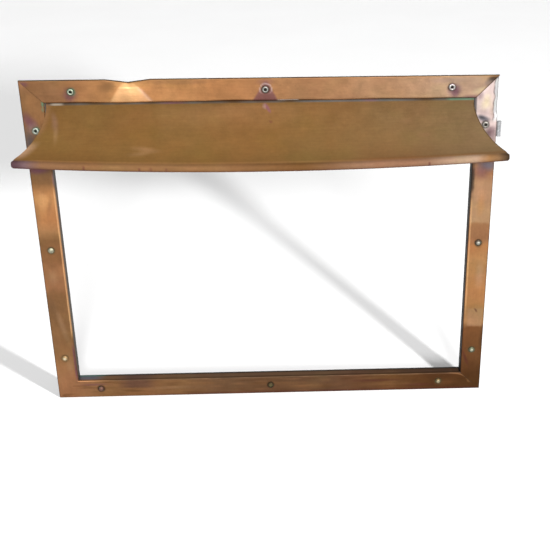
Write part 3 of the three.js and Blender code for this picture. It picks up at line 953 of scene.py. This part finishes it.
# painted shade on the returns of the top rail and stiles
RETURN_SHADES = {"top": SOOT, "left": GREY, "right": SOOT}


def paint_rivet_rims(paint):
    """Painted shade and dirt round each rivet, darkening the copper, and green held against it by
    some.
    """
    for name, (x, z) in RIVET_PLACES.items():
        away = np.hypot(paint.x - x, paint.z - z) * (1 + 0.8 * paint.ragged)
        if name in DARK_RIMS:
            paint.lay(DARK, smooth(HEAD_R + 2.6, HEAD_R - 0.6, away), 0.8)
        else:
            paint.lay(OLIVE, smooth(HEAD_R + 3.5, HEAD_R - 1, away), 0.55)
        if name in GREEN_RIMS:
            aside = smooth(-1, 5, paint.x - x)
            paint.lay(VERDIGRIS, smooth(HEAD_R + 3.2, HEAD_R, away) * aside, 0.7)


def paint_edge_shade_and_returns(paint, flat, side, face):
    """Painted shade along every strip's outer edge, on its return and on its hidden back side, with
    the bottom return's copper brown and its blue-grey and green tarnish at the left end.
    """
    across, back = flat[:, 0], flat[:, 1]
    # painted shade along the strip's outer edge
    paint.lay(DARK, smooth(1.7, 0.3, across), 0.7)
    returned = smooth(1.9, 3.4, back) * (across > face - 3)
    if side == "bottom":
        # painted shade along the bottom return's far edge
        far = returned * smooth(RETURN_DEPTH - 5, RETURN_DEPTH - 1.5, back)
        paint.lay(BROWN, returned * between(paint.x, -110, 150, 50), 0.5)
        paint.lay(SOOT, far, 0.85, 0.6)
        paint.lay(STEEL_BLUE, returned * smooth(-268, -296, paint.x), 0.85)
        paint.lay(TEAL, far * smooth(-262, -290, paint.x), 0.9)
    else:
        # painted shade on the returns of the top rail and stiles
        paint.lay(RETURN_SHADES[side], returned, 0.9, 0.6)
    # painted shade on the strip's hidden back side
    inside = (back > 0.9) & (across > 1.1) & (across < face - 1.1)
    paint.lay(DARK, inside.astype(float), 0.8, 0.7)


def paint_hood(points, share):
    """The hood's colours, painted light and shade among them; share is each point's share of the way
    down the cove.
    """
    paint = Paint(points, BROWN, 0.80)
    x, z = paint.x, paint.z
    paint.grade(x, (-340, HOOD_LEFT), (-60, HOOD_MIDDLE), (60, HOOD_MIDDLE), (330, HOOD_RIGHT))
    sheet = smooth(0.0, 0.05, share) * smooth(1, 0.96, share)
    paint.lay(BRONZE, smooth(0.5, 0.05, share) * hill(x, -40, 190) * sheet, 0.28)
    paint.lay(OLIVE, smooth(0.3, 0.8, share) * hill(x, 60, 50) * sheet, 0.12)
    # painted shade: the hood laid darker at its top than down the cove
    paint.colour *= (COVE_TOP_PAINTED_SHADE + (1 - COVE_TOP_PAINTED_SHADE) * smooth(0.15, 0.85, share))[:, None]
    # rubbed and splashed places
    paint.spots(
        (LILAC, -303, 474, 7, 22, 0.14, -0.1, 0),
        (ROSE, -302, 456, 5, 14, 0.16, 0, 0),
        (ROSE, -170, 440, 24, 5, 0.22, -3, 0),
        (ROSE, -176, 436, 22, 4, 0.18, 3, 0),
        (UMBER, 240, 452, 16, 4, 0.4, 0, 0),
        (UMBER, 212, 470, 24, 4, 0.2, 0, 0),
        (PURPLE, 9, 490, 3.5, 10, 0.8, -0.5),
        (LILAC, 4, 493, 3, 6, 0.4),
        (MAROON, 13, 471, 2.5, 2.5, 0.6),
    )
    # the folded top, seen in the groove below the rail: painted shade in the groove, a painted glint
    # near the left end, and grey, purple and green tarnish
    groove = smooth(0.02, 0.0, share) * smooth(HOOD_TOP_Z + 0.2, HOOD_TOP_Z + 1.6, z)
    paint.lay(DARK, groove, 0.8)
    paint.lay(GREY, groove * (0.5 + 0.5 * np.sin(x / 23) * np.sin(x / 9)), 0.6)
    paint.lay(PALE, groove * between(x, -306, -290, 4), 0.3)
    paint.lay(GREY, groove * between(x, 60, 220, 20), 0.8)
    paint.lay(PURPLE, groove * hill(x, -130, 30), 0.4)
    paint.lay(PURPLE, groove * hill(x, 160, 20), 0.4)
    paint.lay(VERDIGRIS, groove * between(x, 275, 318, 6), 0.5)
    # flared ends: a painted sheen low on the left end, umber high on it, and a dark line along the
    # right end's edge
    half = HOOD_TOP_HALF + HOOD_FLARE * share ** FLARE_POWER
    inward = half - np.abs(x)
    paint.lay(SAND, smooth(17, 1, inward) * (x < 0) * between(share, 0.64, 0.93, 0.08), 0.4)
    paint.lay(DARK, smooth(2.5, 0.5, inward) * (x > 0) * sheet, 0.7)
    paint.lay(UMBER, smooth(10, 1, inward) * (x < 0) * smooth(0.62, 0.4, share), 0.5)
    # the rolled edge: patina brightening to a painted highlight near the right end, a painted
    # highlight along its crown, painted shade in the crease above it and on its underside, and dark
    # nicks
    bead = smooth(0.965, 0.995, share)
    rolled = Paint(points, BROWN, 0.52)
    rolled.grade(x, (-354, PLUM), (-340, BEAD_END), (-318, UMBER), (-230, BEAD_LEFT),
                 (-60, BEAD_LEFT), (60, BEAD_MIDDLE), (150, BEAD_RIGHT), (235, BEAD_RIGHT),
                 (290, BEAD_HIGHLIGHT), (312, BEAD_HIGHLIGHT), (330, BROWN), (346, UMBER), (358, DARK))
    paint.colour += (rolled.colour - paint.colour) * bead[:, None]
    crown = hill(share, 0.965, 0.025)
    paint.lay(TAN, crown * smooth(-345, -320, x) * smooth(330, 300, x), 0.25)
    paint.lay(CHESTNUT, hill(share, 0.95, 0.04) * smooth(60, 190, x), 0.5)
    below = ROD_CENTRE[1] - HOOD_BOW * math.cos(COVE_TURN) * (1 - (x / HALF) ** 2)
    paint.lay(MAROON, bead * smooth(below - 2.2, below - 4.6, z), 0.6)
    for nick, tall in ((-256, 4), (-176, 2), (-161, 3), (-137, 2), (243, 2)):
        paint.lay(MAROON, bead * hill(x, nick, 2.2) * smooth(-tall, -1, below - z), 0.8)
    return paint


# A rivet's colours: its cap, its rim, and how far out the cap reaches in millimetres. On the domed
# rivets a pale cap is partly a painted highlight and a darker rim partly painted shade.
RIVET_LOOKS = {
    "top_left": ((0.41, 0.44, 0.34), (0.07, 0.12, 0.08), 4.2),
    "top_centre": ((0.35, 0.34, 0.31), (0.10, 0.08, 0.07), 4.2),
    "top_right": ((0.45, 0.42, 0.40), (0.22, 0.15, 0.17), 4.6),
    "left_upper": ((0.40, 0.42, 0.36), (0.14, 0.19, 0.15), 4.8),
    "left_middle": ((0.38, 0.37, 0.27), (0.17, 0.15, 0.09), 4.0),
    "left_lower": ((0.80, 0.66, 0.45), (0.30, 0.19, 0.09), 2.5),
    "right_upper": ((0.30, 0.28, 0.25), (0.22, 0.20, 0.18), 4.2),
    "right_middle": ((0.42, 0.41, 0.36), (0.10, 0.075, 0.055), 2.7),
    "right_lower": ((0.50, 0.52, 0.40), (0.13, 0.13, 0.08), 2.3),
    "bottom_left": ((0.24, 0.13, 0.10), (0.09, 0.045, 0.032), 3.0),
    "bottom_centre": ((0.13, 0.11, 0.05), (0.055, 0.038, 0.018), 2.4),
    "bottom_right": ((0.50, 0.43, 0.28), (0.13, 0.085, 0.035), 2.7),
}
HIDDEN_LOOK = ((0.30, 0.24, 0.15), (0.08, 0.06, 0.04), 4.2)


def paint_rivet(rivet, name, centre, look, upright=False):
    """Lays a rivet's colours by the distance from its axis, and painted shade round a blind one's
    bore.
    """
    cap, rim, reach = look
    places = np.array([vertex.co for vertex in rivet.data.vertices])
    points = (places - np.array(ORIGIN)) / MM - np.array(centre)
    paint = Paint(points, cap, 0.40)
    away = np.hypot(points[:, 0], points[:, 1 if upright else 2]) * (1 + 0.5 * paint.ragged)
    paint.lay(rim, smooth(reach - 0.9, reach + 0.7, away), 1.0, 0.6)
    # painted shade round a blind rivet's bore
    paint.lay(rim, smooth(TUBE_R + 0.7, TUBE_R, away) * (name in BLIND), 0.9, 0.6)
    paint.onto(rivet)


def finish_piece(piece, material, slot, *nodes):
    """Gives a piece its material, hides the CAD nodes it stands for and puts it under the root body.
    """
    piece.data.materials.append(material)
    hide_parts(*nodes)
    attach(piece, "root")


RAIL_COPPER = copper_material("strip_copper_level", 0.9, (0.08, 1, 1), FINISH_LEVEL)
STILE_COPPER = copper_material("strip_copper_upright", 0.9, (1, 1, 0.08), FINISH_LEVEL)
HOOD_COPPER = copper_material("hood_copper", 0.35, (0.08, 1, 1), shine=0.12, waves=0.0001)
STEEL = steel_material()

for side, (_, _, _, face) in STRIPS.items():
    piece, points, flat = make_strip(side)
    paint = Paint(points, BROWN, 0.40)
    PAINTERS[side](paint, flat[:, 0], flat[:, 1])
    paint_rivet_rims(paint)
    paint_edge_shade_and_returns(paint, flat, side, face)
    paint.onto(piece)
    copper = RAIL_COPPER if side in ("top", "bottom") else STILE_COPPER
    finish_piece(piece, copper, "copper_strip", f"copper_strip_{side}")

hood, hood_points, hood_share = make_hood()
paint_hood(hood_points, hood_share).onto(hood)
finish_piece(hood, HOOD_COPPER, "copper_hood", "hood_sheet")

finish_piece(make_rod(), STEEL, "frame_steel", "hood_edge_rod")

RIVET_METAL, PIN_STEEL = rivet_material(), pin_material()
for index, (name, (x, z)) in enumerate(RIVET_PLACES.items()):
    stack = STACK + (GAP + LUG_STEEL if name == "right_upper" else 0)
    blind = name in BLIND
    profile = blind_profile(stack) if blind else dome_profile(stack)
    centre = (x, 0, z)
    rivet = lathe(f"{name}_rivet", profile, centre, closed=blind, dents=RIVET_DENTS, seed=index)
    paint_rivet(rivet, name, centre, RIVET_LOOKS[name])
    finish_piece(rivet, RIVET_METAL, "rivet_metal", f"rivet_{name}")
    if blind:
        pin = lathe(f"{name}_pin", pin_profile(stack), centre)
        finish_piece(pin, PIN_STEEL, "mandrel_steel", f"mandrel_{name}")

for index, (name, x) in enumerate(HOOD_RIVET_PLACES.items()):
    centre = (x, HOOD_RIVET_Y, HOOD_TOP_Z + HOOD_BEND_R - COPPER / 2)
    rivet = lathe(f"hood_{name}_rivet", dome_profile(STACK + GAP + COPPER), centre,
                  upright=True, dents=RIVET_DENTS, seed=20 + index)
    paint_rivet(rivet, name, centre, HIDDEN_LOOK, upright=True)
    finish_piece(rivet, RIVET_METAL, "rivet_metal", f"hood_rivet_{name}")

for name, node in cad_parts.items():
    if name.startswith("steel_angle"):
        node.data.materials.clear()
        node.data.materials.append(STEEL)
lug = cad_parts["fixing_lug"]
lug.data.materials.clear()
lug.data.materials.append(lug_material())


# ---- floor, light and camera ----
def make_floor():
    n = Nodes("pale_floor")
    shade = n.level(n.noise(3, 3), 0.3, 0.7, *FLOOR_SHADES)
    material = n.surface(Base_Color=n.grey(shade), Roughness=0.9)
    corners = [(-FLOOR_HALF, -FLOOR_HALF), (FLOOR_HALF, -FLOOR_HALF),
               (FLOOR_HALF, FLOOR_HALF), (-FLOOR_HALF, FLOOR_HALF)]
    mesh = bpy.data.meshes.new("floor")
    mesh.from_pydata([(x, y, ORIGIN.z) for x, y in corners], [], [(0, 1, 2, 3)])
    mesh.materials.append(material)
    floor = add_object("floor", mesh)
    return floor


def lights_floor(lamp, floor, state):
    """Whether a lamp lights only the floor (INCLUDE) or everything but the floor (EXCLUDE)."""
    group = bpy.data.collections.new(lamp.name + "_lit")
    group.objects.link(floor)
    group.collection_objects[0].light_linking.link_state = state
    lamp.light_linking.receiver_collection = group


def make_floor_lamp(floor):
    """The lamp whose shadows show on the floor, as bright far away as it is close by."""
    data = bpy.data.lights.new("floor_lamp", "POINT")
    data.energy = FLOOR_LAMP_POWER
    data.shadow_soft_size = FLOOR_LAMP_RADIUS
    data.cycles.max_bounces = 0
    data.use_nodes = True
    nodes = data.node_tree.nodes
    falloff = nodes.new("ShaderNodeLightFalloff")
    falloff.inputs["Strength"].default_value = 1
    data.node_tree.links.new(falloff.outputs["Constant"], nodes["Emission"].inputs["Strength"])
    lamp = add_object("floor_lamp", data)
    lamp.location = FLOOR_LAMP_PLACE
    lamp.visible_camera = False
    lights_floor(lamp, floor, "INCLUDE")


def make_light(floor):
    for name, (side, up, strength, width) in SUNS.items():
        sun = bpy.data.lights.new(name, "SUN")
        sun.energy = strength
        sun.angle = math.radians(width)
        lamp = add_object(name, sun)
        lamp.rotation_euler = (math.radians(90 - up), 0, math.radians(side))
        if name == "near_sun":
            lights_floor(lamp, floor, "EXCLUDE")
    make_floor_lamp(floor)
    world = bpy.data.worlds.new("sky")
    world.use_nodes = True
    background = world.node_tree.nodes["Background"]
    background.inputs["Strength"].default_value = SKY_STRENGTH
    background.inputs["Color"].default_value = (1, 1, 1, 1)
    bpy.context.scene.world = world


def make_camera():
    data = bpy.data.cameras.new("camera")
    data.lens, data.sensor_width = LENS, SENSOR
    data.shift_x, data.shift_y = LENS_SHIFT
    data.clip_start, data.clip_end = CAMERA_NEAR, CAMERA_FAR
    camera = add_object("camera", data)
    camera.location = CAMERA_PLACE
    camera.rotation_euler = [math.radians(turn) for turn in CAMERA_TURN]
    bpy.context.scene.camera = camera


make_light(make_floor())
make_camera()
bpy.context.scene.view_settings.view_transform = "Standard"
